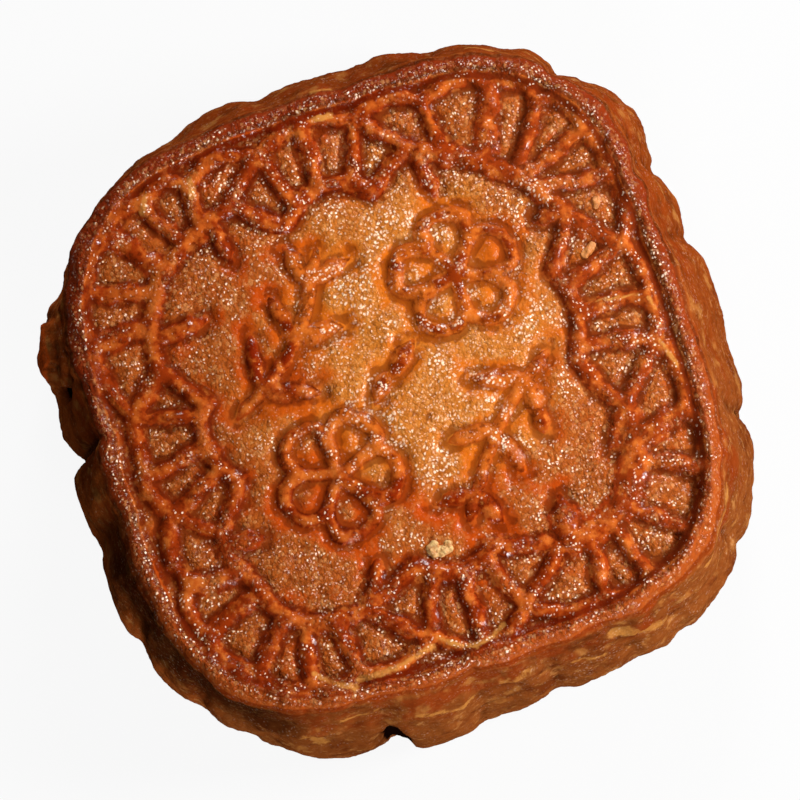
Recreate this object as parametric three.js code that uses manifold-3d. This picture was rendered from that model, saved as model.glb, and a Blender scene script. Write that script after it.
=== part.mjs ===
// A baked square mooncake: one solid crust with a fluted wall, a raised rim, a moulded lace
// border and a pressed pattern of blossoms and leaf sprigs in the middle of its top.
// Millimetres, +Z up, resting on z = 0 and centred on the origin.

import * as THREE from 'three';
import { mergeVertices } from 'three/addons/utils/BufferGeometryUtils.js';
import Module from 'manifold-3d';

// ---- driving dimensions ----

const WIDTH = 75; // across the widest level, side to side
const BELLY_HEIGHT = 11; // height of the widest level
const RIM_HEIGHT = 32.3; // height of the rim's crest
const RIM_WIDTH = 63.6; // crest to crest, side to side
const FLOOR_HEIGHT = 31; // floor of the lace border and of the groove round it
const DOME_HEIGHT = 31.9; // middle of the slightly domed top
const DOME_HALF = 19; // the dome's edge, out along a side
const DOME_SQUARE = 3; // squareness of the dome's outline
const FLUTE_DEPTH = 1; // a common notch between two flutes of the wall
const FLUTE_FULLNESS = 0.5; // 1 is an even wave; less gives full flutes and narrow notches
const STROKE_WIDTH = 1.7; // a common ridge of the lace
const STROKE_HEIGHT = 1.25;
const ORNAMENT_HEIGHT = 1.1; // the ridges of the blossoms and the sprigs
const RIDGE_ROOT = 1; // how deep a ridge's foot is sunk into the floor
const CREST_SHARE = 0.55; // width of a ridge's flat crest over that of its foot
const BLUNT = 0.55; // height and width of a ridge's free end over those of its middle

// The wall's levels from the foot to the inside of the rim: height, half width, squareness of
// the outline (2 is a circle), how much of the flutes it keeps and how many degrees it is turned.
const HALF = WIDTH / 2;
const RIM_HALF = RIM_WIDTH / 2;
const LEVELS = [
  { z: 0, half: HALF - 3.4, square: 2.9, flutes: 0.5, turn: -1.2 },
  { z: 0.7, half: HALF - 1.9, square: 2.9, flutes: 0.7, turn: -1.2 },
  { z: 3.2, half: HALF - 0.7, square: 2.9, flutes: 0.9, turn: -1.2 },
  { z: BELLY_HEIGHT, half: HALF, square: 2.9, flutes: 1, turn: -1.2 },
  { z: 18, half: HALF - 0.8, square: 2.95, flutes: 1, turn: -1.3 },
  { z: 24.5, half: HALF - 2.4, square: 3.1, flutes: 0.9, turn: -1.5 },
  { z: 29.2, half: RIM_HALF + 1.7, square: 3.4, flutes: 0.7, turn: -1.8 },
  { z: RIM_HEIGHT - 0.8, half: RIM_HALF + 0.9, square: 3.6, flutes: 0.6, turn: -2 },
  { z: RIM_HEIGHT, half: RIM_HALF, square: 3.7, flutes: 0.5, turn: -2 },
  { z: RIM_HEIGHT - 0.3, half: RIM_HALF - 0.7, square: 3.7, flutes: 0.4, turn: -2 },
  { z: FLOOR_HEIGHT, half: RIM_HALF - 1.2, square: 3.7, flutes: 0.3, turn: -2 },
];

// The notches between the wall's flutes, uneven as they baked: bearing in degrees, depth as a
// share of the common one, and how far the flute after it stands out.
const NOTCHES = [
  [8.5, 2, -0.9], [22, 2.5, 0.7], [43.5, 2.6, -0.3], [54, 0.4, 0.1], [65, 0.7, -0.4],
  [79, 0.9, 0], [95, 0.8, 0.1], [110.5, 0.9, -1], [131.5, 2.7, -1.8], [145.5, 0.9, -0.4],
  [157.5, 0.2, -0.6], [171, 3.4, 0.5], [187, 0.8, 0.6], [203.5, 0.8, 0.2], [217, 1.3, -0.8],
  [226, 1.3, -0.2], [249, 1, 0.4], [264, 0.7, -0.6], [279, 1.5, -0.7], [292.5, 1.2, -0.1],
  [301, 0.9, 0.2], [316.5, 1.2, -0.3], [337.5, 1.9, -0.7], [351.5, 0.9, -0.2],
];
const FLUTE_STEPS = [0, 0.07, 0.22, 0.5, 0.78, 0.93];

// The lace's four side fans, each drawn as if it lay on the +X side, as [out, along], and then
// turned into place. A fan has two tips and a crown on its outer arc, three spokes, an inner
// arc, a knot to each side where it meets the corners, and a short hook that runs in from there.
const SIDES = [
  {
    tips: [[28.3, -5], [28.4, 6.1]], crown: [29.7, -0.1],
    arc: [[19.5, -4.6], [21.4, 0.3], [20.4, 5.6]],
    knots: [[22.5, -11], [23.9, 10.7]],
    hooks: [[[21.6, -11.8], [19.8, -14.8]], [[23.2, 11.2], [20.5, 11.9]]],
  },
  {
    tips: [[28.7, -5.9], [28.5, 5.6]], crown: [30.3, -0.1],
    arc: [[20.6, -5], [23, 0], [20.5, 5]],
    knots: [[24, -10.3], [24.3, 10.2]],
    hooks: [[[23, -11], [18.3, -11.4]], [[23, 12.6], [18.7, 12.1]]],
  },
  {
    tips: [[27.6, -6.3], [27.3, 5]], crown: [28.8, 0.6],
    arc: [[19.6, -5], [21.4, -0.8], [19.2, 4.1]],
    knots: [[23.4, -10], [22.9, 9.1]],
    hooks: [[[21.6, -13.6], [17, -13.5]], [[22, 10.3], [19, 10.8]]],
  },
  {
    tips: [[27, -5.4], [27.6, 5.3]], crown: [29.8, -0.1],
    arc: [[19.4, -4.7], [21.4, 0], [20, 4.1]],
    knots: [[22, -11.2], [22.5, 11.4]],
    hooks: [[[21.4, -10.4], [17.4, -8.2]], [[22, 12.6], [18, 12.7]]],
  },
];

// The lace's four corner flowers, from the +X +Y one round. Their petals lie between spokes
// that fan out round a focus: bearing at the outer end, bearing at the inner end, width.
const CORNERS = [
  {
    focus: [15.5, 14.5], inner: 7, outer: 13.9,
    spokes: [[-3, 4, 1.7], [19, 20, 1.6], [44, 33, 1.6], [67, 66, 2.4], [99, 103, 1.7]],
  },
  {
    focus: [-15.5, 15], inner: 7.2, outer: 13.4,
    spokes: [[82, 80, 1.7], [104, 98, 1.7], [127, 127, 2.3], [155, 151, 1.7], [179, 181, 2.4]],
  },
  {
    focus: [-15.3, -15], inner: 7, outer: 13,
    spokes: [[171, 168, 2.3], [195, 193, 1.8], [226, 227, 1.9], [253, 250, 1.8], [276, 277, 1.9]],
  },
  {
    focus: [15.5, -16], inner: 6.8, outer: 13.2,
    spokes: [[263, 260, 1.7], [286, 281, 1.7], [315, 307, 1.8], [344, 352, 1.9], [372, 371, 2.4]],
  },
];
const PETAL_RISE = 1.15; // how far the outer arc of a lace petal bows out
const FAN_FEET = [0.18, 0.5, 0.82]; // where a side fan's spokes stand on its inner arc
const ARC_INSET = 1.1; // how far the inner outline runs inside the feet of a corner's spokes
const LACE_SHIFT = [-0.15, -0.35]; // the whole lace's place on the top

// The pressed pattern in the middle: two blossoms, two leaf sprigs and two single leaves
const BLOSSOMS = [
  { centre: [10.4, 8.8], radius: 7.4, turn: 14 },
  { centre: [-9, -7.6], radius: 7.4, turn: -20 },
];
const PETAL_EDGE = [[0.34, -32], [1.36, -36], [1.36, 36], [0.34, 32]]; // share of radius, bearing
const SPRIGS = [
  { stem: [[-17, 2.2], [-8.8, 7.6], [-3.2, 16.4]], leafPairs: 3, leafLength: 6.4 },
  { stem: [[16.8, -2.6], [9.2, -8.4], [2.6, -17]], leafPairs: 3, leafLength: 6.4 },
];
const LEAVES = [
  { base: [3.4, 3.4], heading: 222, length: 4.8 },
  { base: [-2.6, -1.6], heading: 52, length: 3.6 },
];
const LEAF_SPREAD = 52; // degrees between a sprig's leaf and its stem

// Crumbs baked onto the crust: place on the top, length, width, height, heading
const CRUMBS = [
  { at: [-1.2, -18.4], size: [2.8, 2.1, 0.9], heading: 25 },
  { at: [27.2, 11.6], size: [1.4, 0.9, 0.7], heading: 60 },
  { at: [24.8, 6.4], size: [2.3, 1, 0.8], heading: 20 },
];

// The break in the wall, and the lifted flap of crust with the pocket above it and the crack
// beside it
const BREAK = { bearing: 249.7, width: 2.8, from: 7, to: 25, inward: 2.6 };
const FLAP = { bearing: 154.8, width: 6.5, from: 15.5, to: 26, inward: 1.5, outward: 0.5 };
const POCKET = { bearing: 153, width: 6, from: 25.5, to: 29.5, inward: 2 };
const CRACK = { bearing: 160.6, width: 1.8, from: 15, to: 24.5, inward: 2.6 };
const CUT_REACH = 2; // how far a cut runs out past the wall

const degrees = THREE.MathUtils.degToRad;

// ---- solids ----

const wasm = await Module();
wasm.setup();

// A closed geometry as a solid that can be joined and cut
function solid(geometry) {
  const bare = geometry.clone();
  bare.deleteAttribute('normal');
  bare.deleteAttribute('uv');
  const merged = mergeVertices(bare);
  const vertProperties = Float32Array.from(merged.attributes.position.array);
  const triVerts = Uint32Array.from(merged.index.array);
  return new wasm.Manifold(new wasm.Mesh({ numProp: 3, vertProperties, triVerts }));
}

function surface(body) {
  const mesh = body.getMesh();
  const geometry = new THREE.BufferGeometry();
  geometry.setAttribute('position', new THREE.BufferAttribute(mesh.vertProperties, 3));
  geometry.setIndex(new THREE.BufferAttribute(mesh.triVerts, 1));
  geometry.computeVertexNormals();
  return geometry;
}

const middle = (ring) => {
  const sum = new THREE.Vector3();
  ring.forEach((point) => sum.add(point));
  return sum.divideScalar(ring.length);
};

// A closed skin over rings of equally many points, which run anticlockwise as seen from the
// last one's side. Each end is closed by a fan, or a loop joins its last ring to its first.
function loft(rings, { loop = false } = {}) {
  const count = rings[0].length;
  const points = rings.flat();
  const index = [];
  const bands = loop ? rings.length : rings.length - 1;
  for (let band = 0; band < bands; band += 1) {
    const low = band * count;
    const high = ((band + 1) % rings.length) * count;
    for (let side = 0; side < count; side += 1) {
      const next = (side + 1) % count;
      index.push(low + side, low + next, high + next);
      index.push(low + side, high + next, high + side);
    }
  }
  if (!loop) {
    const firstMiddle = points.push(middle(rings[0])) - 1;
    const lastMiddle = points.push(middle(rings.at(-1))) - 1;
    const lastRing = bands * count;
    for (let side = 0; side < count; side += 1) {
      const next = (side + 1) % count;
      index.push(firstMiddle, next, side);
      index.push(lastMiddle, lastRing + side, lastRing + next);
    }
  }
  const geometry = new THREE.BufferGeometry().setFromPoints(points);
  geometry.setIndex(index);
  return geometry;
}

// ---- the wall, the rim and the domed floor ----

// Distance from the middle to a rounded square of the given half width, at a bearing
function squareRadius(bearing, half, square) {
  const across = Math.abs(Math.cos(bearing)) ** square;
  const along = Math.abs(Math.sin(bearing)) ** square;
  return half / (across + along) ** (1 / square);
}

// Bearing and dent at each point of the fluted outline
const flutedPoints = NOTCHES.flatMap(([start, depth, bulge], index) => {
  const [next, nextDepth] = NOTCHES[(index + 1) % NOTCHES.length];
  const span = (next - start + 360) % 360;
  return FLUTE_STEPS.map((step) => {
    const full = Math.sin(Math.PI * step) ** FLUTE_FULLNESS;
    const notch = THREE.MathUtils.lerp(depth, nextDepth, step) * FLUTE_DEPTH;
    return { bearing: degrees(start + span * step), dent: notch * (1 - full) - bulge * full };
  });
});

// Nothing stands out past the mould's width
const withinMould = (place) => THREE.MathUtils.clamp(place, -HALF, HALF);

function wallRing({ z, half, square, flutes, turn }) {
  return flutedPoints.map(({ bearing, dent }) => {
    const radius = squareRadius(bearing - degrees(turn), half, square) - dent * flutes;
    const [x, y] = [radius * Math.cos(bearing), radius * Math.sin(bearing)];
    return new THREE.Vector3(withinMould(x), withinMould(y), z);
  });
}

// Distance from the middle to the unfluted wall, at a bearing and a height
function wallRadius(bearing, z) {
  const above = LEVELS.findIndex((level) => level.z > z);
  const [low, high] = [LEVELS[above - 1], LEVELS[above]];
  const half = THREE.MathUtils.mapLinear(z, low.z, high.z, low.half, high.half);
  return squareRadius(bearing - degrees(low.turn), half, low.square);
}

// Height of the bare top: flat from the rim in, with a low dome in its middle
function floorHeight(x, y) {
  const reach = (Math.abs(x) ** DOME_SQUARE + Math.abs(y) ** DOME_SQUARE) ** (1 / DOME_SQUARE);
  return DOME_HEIGHT - (DOME_HEIGHT - FLOOR_HEIGHT) * Math.min(reach / DOME_HALF, 1) ** 2;
}

function dome() {
  const sides = 16;
  const rings = [1, 0.75, 0.4].map((share) => {
    const ring = [];
    for (let side = 0; side < sides; side += 1) {
      const bearing = (2 * Math.PI * side) / sides;
      const radius = squareRadius(bearing, DOME_HALF, DOME_SQUARE) * share;
      const [x, y] = [radius * Math.cos(bearing), radius * Math.sin(bearing)];
      ring.push(new THREE.Vector3(x, y, floorHeight(x, y)));
    }
    return ring;
  });
  const root = rings[0].map((point) => point.clone().setZ(FLOOR_HEIGHT - RIDGE_ROOT));
  return loft([root, ...rings]);
}

// ---- ridges ----

const COMMON = { width: STROKE_WIDTH, height: STROKE_HEIGHT };
const PETAL = { width: 1.5, height: ORNAMENT_HEIGHT };
const STEM = { width: 1.4, height: ORNAMENT_HEIGHT, blunt: BLUNT };
const LEAF = { width: 2.2, height: ORNAMENT_HEIGHT, blunt: BLUNT, taper: 0.5 };
const PETAL_STEPS = 7;
const BOW_STEPS = 4;
const LACE_STEPS = 3;

const spot = ([x, y]) => new THREE.Vector3(x, y, 0);
const line = (start, end) => new THREE.LineCurve3(spot(start), spot(end));

// An even bow through three points
function bow([start, middlePoint, end]) {
  const control = spot(middlePoint).multiplyScalar(2);
  control.addScaledVector(spot(start), -0.5).addScaledVector(spot(end), -0.5);
  return new THREE.QuadraticBezierCurve3(spot(start), control, spot(end));
}

// A ridge's section at a point, across its way: sunk at its foot, flat along its crest
function section(point, forward, width, height) {
  const left = new THREE.Vector3(-forward.y, forward.x, 0).multiplyScalar(width / 2);
  const floor = floorHeight(point.x, point.y);
  const corner = (across, up) => point.clone().addScaledVector(left, across).setZ(floor + up);
  return [
    corner(1, -RIDGE_ROOT),
    corner(CREST_SHARE, height),
    corner(-CREST_SHARE, height),
    corner(-1, -RIDGE_ROOT),
  ];
}

// A ridge along a path, in so many segments. It reaches a little past the path's ends, into
// the ridges that it meets. A free end is blunt: lower and narrower by that share. A taper
// makes the ridge widest in its middle.
function ridge(path, segments, { width, height, blunt = 1, taper = 0 }) {
  const rings = [];
  for (let station = 0; station <= segments; station += 1) {
    const step = station / segments;
    const point = path.getPoint(step);
    const forward = path.getTangent(step);
    const atEnd = step === 0 || step === 1;
    if (atEnd) {
      point.addScaledVector(forward, (step - 0.5) * width * 0.5);
    }
    const share = atEnd ? blunt : 1;
    const swell = share * (1 - taper * Math.abs(2 * step - 1) ** 1.5);
    rings.push(section(point, forward, width * swell, height * share));
  }
  return loft(rings);
}

// A ridge that runs round and back to its start, along curves that meet end to end
function ridgeLoop(curves, steps, { width, height }) {
  const points = curves.flatMap((curve) => {
    const count = curve.type === 'LineCurve3' ? 1 : steps;
    return curve.getPoints(count).slice(0, -1);
  });
  const rings = points.map((point, index) => {
    const before = points.at(index - 1);
    const after = points[(index + 1) % points.length];
    const forward = after.clone().sub(before).normalize();
    return section(point, forward, width, height);
  });
  return loft(rings, { loop: true });
}

// ---- the lace border ----

function turned([out, along], quarterTurns) {
  const angle = quarterTurns * (Math.PI / 2);
  const [c, s] = [Math.cos(angle), Math.sin(angle)];
  return [c * out - s * along, s * out + c * along];
}

function around([x, y], radius, bearing) {
  return [x + radius * Math.cos(degrees(bearing)), y + radius * Math.sin(degrees(bearing))];
}

// A bow between two points that swells out to the right of the way between them
function bowBetween(start, end, rise) {
  const [dx, dy] = [end[0] - start[0], end[1] - start[1]];
  const push = rise / Math.hypot(dx, dy);
  return bow([start, [(start[0] + end[0]) / 2 + dy * push, (start[1] + end[1]) / 2 - dx * push], end]);
}

// A quarter of the lace: a side fan and the corner flower after it. It gives the curves of the
// outer and the inner outline, and the ridges between them.
function laceQuarter(side, quarter) {
  const nextQuarter = (quarter + 1) % 4;
  const nextSide = SIDES[nextQuarter];
  const corner = CORNERS[quarter];
  const put = (point) => turned(point, quarter);
  const tips = side.tips.map(put);
  const knots = side.knots.map(put);
  const arc = side.arc.map(put);
  const crown = put(side.crown);

  const joints = [
    tips[1],
    ...corner.spokes.map(([bearing]) => around(corner.focus, corner.outer, bearing)),
    turned(nextSide.tips[0], nextQuarter),
  ];
  const petals = joints.slice(1).map((joint, index) => bowBetween(joints[index], joint, PETAL_RISE));
  const outer = [bow([tips[0], crown, tips[1]]), ...petals];

  const sideArc = bow(arc);
  const arcMiddle = around(corner.focus, corner.inner - ARC_INSET, 45 + 90 * quarter);
  const cornerArc = bow([knots[1], arcMiddle, turned(nextSide.knots[0], nextQuarter)]);
  const inner = [line(knots[0], arc[0]), sideArc, line(arc[2], knots[1]), cornerArc];

  const ridges = [tips[0], crown, tips[1]].map((tip, index) => {
    const { x, y } = sideArc.getPoint(FAN_FEET[index]);
    return ridge(line([x, y], tip), 1, COMMON);
  });
  knots.forEach((knot, index) => {
    ridges.push(ridge(line(tips[index], knot), 1, COMMON));
    ridges.push(ridge(line(...side.hooks[index].map(put)), 3, { ...COMMON, blunt: BLUNT }));
  });
  corner.spokes.forEach(([, innerBearing, width], index) => {
    const foot = around(corner.focus, corner.inner, innerBearing);
    ridges.push(ridge(line(foot, joints[index + 1]), 1, { ...COMMON, width }));
  });
  return { outer, inner, ridges };
}

function lace() {
  const quarters = SIDES.map(laceQuarter);
  return [
    ridgeLoop(quarters.flatMap(({ outer }) => outer), LACE_STEPS, COMMON),
    ridgeLoop(quarters.flatMap(({ inner }) => inner), BOW_STEPS, COMMON),
    ...quarters.flatMap(({ ridges }) => ridges),
  ].map((piece) => piece.translate(...LACE_SHIFT, 0));
}

// ---- the blossoms and the leaves ----

// Five round petals, with a short ridge from the middle to where each two of them meet
function blossom({ centre, radius, turn }) {
  const ridges = [];
  for (let petal = 0; petal < 5; petal += 1) {
    const bearing = turn + 72 * petal;
    const at = ([share, aside]) => spot(around(centre, share * radius, bearing + aside));
    const edge = new THREE.CubicBezierCurve3(...PETAL_EDGE.map(at));
    ridges.push(ridge(edge, PETAL_STEPS, PETAL));
    ridges.push(ridge(new THREE.LineCurve3(at([0.02, 36]), at([0.3, 36])), 1, PETAL));
  }
  return ridges;
}

function leaf({ base, heading, length }) {
  return ridge(line(base, around(base, length, heading)), 3, LEAF);
}

// A bowed stem with leaves in pairs, shorter towards its tip
function sprig({ stem, leafPairs, leafLength }) {
  const path = bow(stem);
  const ridges = [ridge(path, BOW_STEPS, STEM)];
  for (let pair = 0; pair < leafPairs; pair += 1) {
    const along = (pair + 0.55) / leafPairs;
    const { x, y } = path.getPoint(along);
    const forward = path.getTangent(along);
    const heading = THREE.MathUtils.radToDeg(Math.atan2(forward.y, forward.x));
    const length = leafLength * (1.05 - 0.4 * along);
    ridges.push(leaf({ base: [x, y], heading: heading + LEAF_SPREAD, length }));
    ridges.push(leaf({ base: [x, y], heading: heading - LEAF_SPREAD, length }));
  }
  return ridges;
}

// ---- crumbs, the break and the flap ----

function crumb({ at: [x, y], size: [length, width, height], heading }) {
  const lump = new THREE.IcosahedronGeometry(1, 0);
  lump.scale(length / 2, width / 2, height);
  lump.rotateZ(degrees(heading));
  lump.translate(x, y, floorHeight(x, y) + 0.2);
  return lump;
}

// A ragged upright slab in the wall, from `inward` inside it to `outward` past it
function wallSlab({ bearing, width, from, to, inward, outward = CUT_REACH }) {
  const angle = degrees(bearing);
  const out = new THREE.Vector3(Math.cos(angle), Math.sin(angle), 0);
  const along = new THREE.Vector3(-Math.sin(angle), Math.cos(angle), 0);
  const edge = [[0.1, 0], [0.95, 0.3], [1, 0.72], [0.35, 1], [-0.7, 0.86], [-1, 0.35]];
  const ring = (reach) => edge.map(([across, up]) => {
    const z = THREE.MathUtils.lerp(from, to, up);
    const point = out.clone().multiplyScalar(wallRadius(angle, z) + reach);
    return point.addScaledVector(along, (across * width) / 2).setZ(z);
  });
  return loft([ring(-inward), ring(outward)]);
}

// ---- the cake ----

const added = [
  dome(),
  ...lace(),
  ...BLOSSOMS.flatMap(blossom),
  ...SPRIGS.flatMap(sprig),
  ...LEAVES.map(leaf),
  ...CRUMBS.map(crumb),
  wallSlab(FLAP),
];
const removed = [BREAK, POCKET, CRACK].map(wallSlab);

let cake = solid(loft(LEVELS.map(wallRing)));
added.forEach((piece) => {
  cake = cake.add(solid(piece));
});
removed.forEach((piece) => {
  cake = cake.subtract(solid(piece));
});

const crust = new THREE.MeshStandardMaterial({ color: 0xa8541c, roughness: 0.45, metalness: 0 });
const mooncake = new THREE.Mesh(surface(cake), crust);
mooncake.name = 'mooncake';

const group = new THREE.Group();
group.add(mooncake);

export default group;
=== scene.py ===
"""A baked square mooncake: a glazed, pressed top inside a raised rim, a duller fluted wall, and
a few pale crumbs. Sizes are in millimetres until the last step of each shape."""

import cmath
import math

import bpy
from mathutils import Matrix, Vector
from mathutils.bvhtree import BVHTree


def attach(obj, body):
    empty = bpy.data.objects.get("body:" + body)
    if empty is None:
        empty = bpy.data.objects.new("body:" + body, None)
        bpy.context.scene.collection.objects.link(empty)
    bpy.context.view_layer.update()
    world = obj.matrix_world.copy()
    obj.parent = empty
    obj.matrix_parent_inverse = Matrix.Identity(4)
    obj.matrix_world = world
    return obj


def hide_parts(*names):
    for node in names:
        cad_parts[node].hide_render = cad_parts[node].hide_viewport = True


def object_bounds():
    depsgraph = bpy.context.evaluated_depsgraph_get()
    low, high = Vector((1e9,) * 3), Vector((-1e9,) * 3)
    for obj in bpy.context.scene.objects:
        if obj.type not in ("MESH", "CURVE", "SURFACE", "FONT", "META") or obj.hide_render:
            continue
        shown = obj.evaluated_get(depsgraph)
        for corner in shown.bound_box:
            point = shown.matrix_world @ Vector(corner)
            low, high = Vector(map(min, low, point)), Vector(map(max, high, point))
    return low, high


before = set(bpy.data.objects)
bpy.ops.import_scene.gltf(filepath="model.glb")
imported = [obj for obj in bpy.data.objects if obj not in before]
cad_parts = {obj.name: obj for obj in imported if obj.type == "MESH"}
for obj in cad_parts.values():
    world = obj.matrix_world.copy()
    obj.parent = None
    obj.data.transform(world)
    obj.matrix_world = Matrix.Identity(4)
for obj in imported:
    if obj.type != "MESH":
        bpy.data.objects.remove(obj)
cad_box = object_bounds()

MM = 0.001

# ---- sizes, in millimetres ----

WIDTH = 75.0
RIM_HEIGHT = 32.3
RIM_WIDTH = 63.6
FLOOR_HEIGHT = 31.0
DOME_HEIGHT = 31.9
DOME_HALF = 19.0
LACE_HEIGHT = 1.1
ORNAMENT_HEIGHT = 0.8
PUFF_HEIGHT = 0.5
LUMP_HEIGHT = 1.0
FLUTE_DEPTH = 1.0
CELLS_ACROSS = 220
WALL_ROWS = 48
SEED = 7.0

# The room left inside the mould's box, and how softly the crust bends away from its sides
MARGIN = 0.01
BOX_SOFTNESS = 0.3

# The wall from the foot to the rim's crest: height, half width, squareness of the outline (2 is
# a circle), share of the flutes that it keeps, and degrees that the outline is turned. A scale
# brings each of them between 0 and 1, which is what a curve can hold.
HEIGHT, HALF_WIDTH, SQUARENESS, FLUTE_SHARE, TURN = range(5)
LEVEL_SCALES = (40, 40, 5, 1.0, -5)
HALF = WIDTH / 2
RIM_HALF = RIM_WIDTH / 2
LEVELS = [
    (0.0, HALF - 3.4, 2.9, 0.5, -1.2),
    (0.7, HALF - 1.9, 2.9, 0.7, -1.2),
    (3.2, HALF - 0.7, 2.9, 0.9, -1.2),
    (11.0, HALF, 2.9, 1.0, -1.2),
    (18.0, HALF - 0.8, 2.95, 1.0, -1.3),
    (24.5, HALF - 2.4, 3.1, 0.9, -1.5),
    (29.2, RIM_HALF + 1.7, 3.4, 0.55, -1.8),
    (31.5, RIM_HALF + 0.9, 3.6, 0.35, -2.0),
    (RIM_HEIGHT, RIM_HALF, 3.7, 0.25, -2.0),
]

# The notches between the flutes: bearing in degrees, depth as a share of the common one, and
# how far the flute after it bulges.
NOTCHES = [
    (8.5, 2.0, -0.9), (22, 2.5, 0.7), (43.5, 2.6, -0.3), (54, 0.4, 0.1), (65, 0.7, -0.4),
    (79, 0.9, 0.0), (95, 0.8, 0.1), (110.5, 0.9, -1.0), (131.5, 2.7, -1.8), (145.5, 0.9, -0.4),
    (157.5, 0.2, -0.6), (171, 3.4, 0.5), (187, 0.8, 0.6), (203.5, 0.8, 0.2), (217, 1.3, -0.8),
    (226, 1.3, -0.2), (249, 1.0, 0.4), (264, 0.7, -0.6), (279, 1.5, -0.7), (292.5, 1.2, -0.1),
    (301, 0.9, 0.2), (316.5, 1.2, -0.3), (337.5, 1.9, -0.7), (351.5, 0.9, -0.2),
]
FLUTE_TABLE = 720
FLUTE_FULLNESS = 0.5
FLUTE_WANDER = 7

# The beads of the dough's grain: a third of a millimetre across
BEAD = 0.34
BEAD_HEIGHT = 0.18

# The lace, as places on a complex plane: out along a side is real, along the side imaginary.
# A side has two tips and a crown on its outer arc, an inner arc, two knots and two hooks.
LACE_SHIFT = -0.15 - 0.35j
SIDES = [
    dict(tips=(28.3 - 5j, 28.4 + 6.1j), crown=29.7 - 0.1j,
         arc=(19.5 - 4.6j, 21.4 + 0.3j, 20.4 + 5.6j), knots=(22.5 - 11j, 23.9 + 10.7j),
         hooks=((21.6 - 11.8j, 19.8 - 14.8j), (23.2 + 11.2j, 20.5 + 11.9j))),
    dict(tips=(28.7 - 5.9j, 28.5 + 5.6j), crown=30.3 - 0.1j,
         arc=(20.6 - 5j, 23.0 + 0j, 20.5 + 5j), knots=(24 - 10.3j, 24.3 + 10.2j),
         hooks=((23 - 11j, 18.3 - 11.4j), (23 + 12.6j, 18.7 + 12.1j))),
    dict(tips=(27.6 - 6.3j, 27.3 + 5j), crown=28.8 + 0.6j,
         arc=(19.6 - 5j, 21.4 - 0.8j, 19.2 + 4.1j), knots=(23.4 - 10j, 22.9 + 9.1j),
         hooks=((21.6 - 13.6j, 17 - 13.5j), (22 + 10.3j, 19 + 10.8j))),
    dict(tips=(27 - 5.4j, 27.6 + 5.3j), crown=29.8 - 0.1j,
         arc=(19.4 - 4.7j, 21.4 + 0j, 20 + 4.1j), knots=(22 - 11.2j, 22.5 + 11.4j),
         hooks=((21.4 - 10.4j, 17.4 - 8.2j), (22 + 12.6j, 18 + 12.7j))),
]

# The widths of each side's two hooks
HOOK_WIDTHS = [(1.7, 1.7), (1.7, 1.8), (1.7, 1.7), (1.7, 2.8)]

# A corner flower's spokes fan out round its focus: outer bearing, inner bearing, width.
CORNERS = [
    dict(focus=15.5 + 14.5j, inner=7.0, outer=13.9, arc_width=2.2, arc_inset=2.0,
         spokes=((-3, 4, 1.7), (19, 20, 1.6), (44, 33, 1.6), (67, 66, 2.4), (99, 103, 1.7))),
    dict(focus=-15.5 + 15j, inner=7.2, outer=13.4, arc_width=1.9, arc_inset=1.1,
         spokes=((82, 80, 1.7), (104, 98, 1.7), (127, 127, 2.3), (155, 151, 1.7), (179, 181, 2.4))),
    dict(focus=-15.3 - 15j, inner=7.0, outer=13.0, arc_width=2.0, arc_inset=1.1,
         spokes=((171, 168, 2.3), (195, 193, 1.8), (226, 227, 1.9), (253, 250, 1.8), (276, 277, 1.9))),
    dict(focus=15.5 - 16j, inner=6.8, outer=13.2, arc_width=3.0, arc_inset=1.1,
         spokes=((263, 260, 1.7), (286, 281, 1.7), (315, 307, 1.8), (344, 352, 1.9), (372, 371, 2.4))),
]
PETAL_RISE = 1.15
LACE_WIDTH = 1.7
SIDE_ARC_WIDTH = 1.8
SIDE_SPOKES = (0.18, 0.5, 0.82)

# The pressed pattern in the middle: a blossom's place, size and turn, a sprig's bow from end to
# end, and a loose leaf's place, heading and length
BLOSSOMS = [(10.4 + 8.8j, 7.4, 14), (-9.0 - 7.6j, 7.4, -20)]
SPRIGS = [
    (-17 + 2.2j, -8.8 + 7.6j, -3.2 + 16.4j),
    (16.8 - 2.6j, 9.2 - 8.4j, 2.6 - 17.0j),
]
LEAVES = [(3.4 + 3.4j, 222, 4.8), (-2.6 - 1.6j, 52, 3.6)]
LEAF_PAIRS = 3
LEAF_LENGTH = 6.4
LEAF_WIDTH = 2.2
LEAF_SPREAD = 52
STEM_WIDTH = 1.4
PETALS = 5
PETAL_TURN = 360 / PETALS
PETAL_WIDTH = 1.5

# A petal's corners, as shares of the blossom's size and degrees to the side, and the reach of
# the short ridge between two petals, as shares
PETAL_CORNERS = ((0.34, -36), (1.36, -36), (1.36, 36), (0.34, 36))
PETAL_SPOKE = (0.02, 0.3)

# One degree of the wall, laid out flat
ARC_DEGREE = math.radians(1) * HALF

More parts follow.
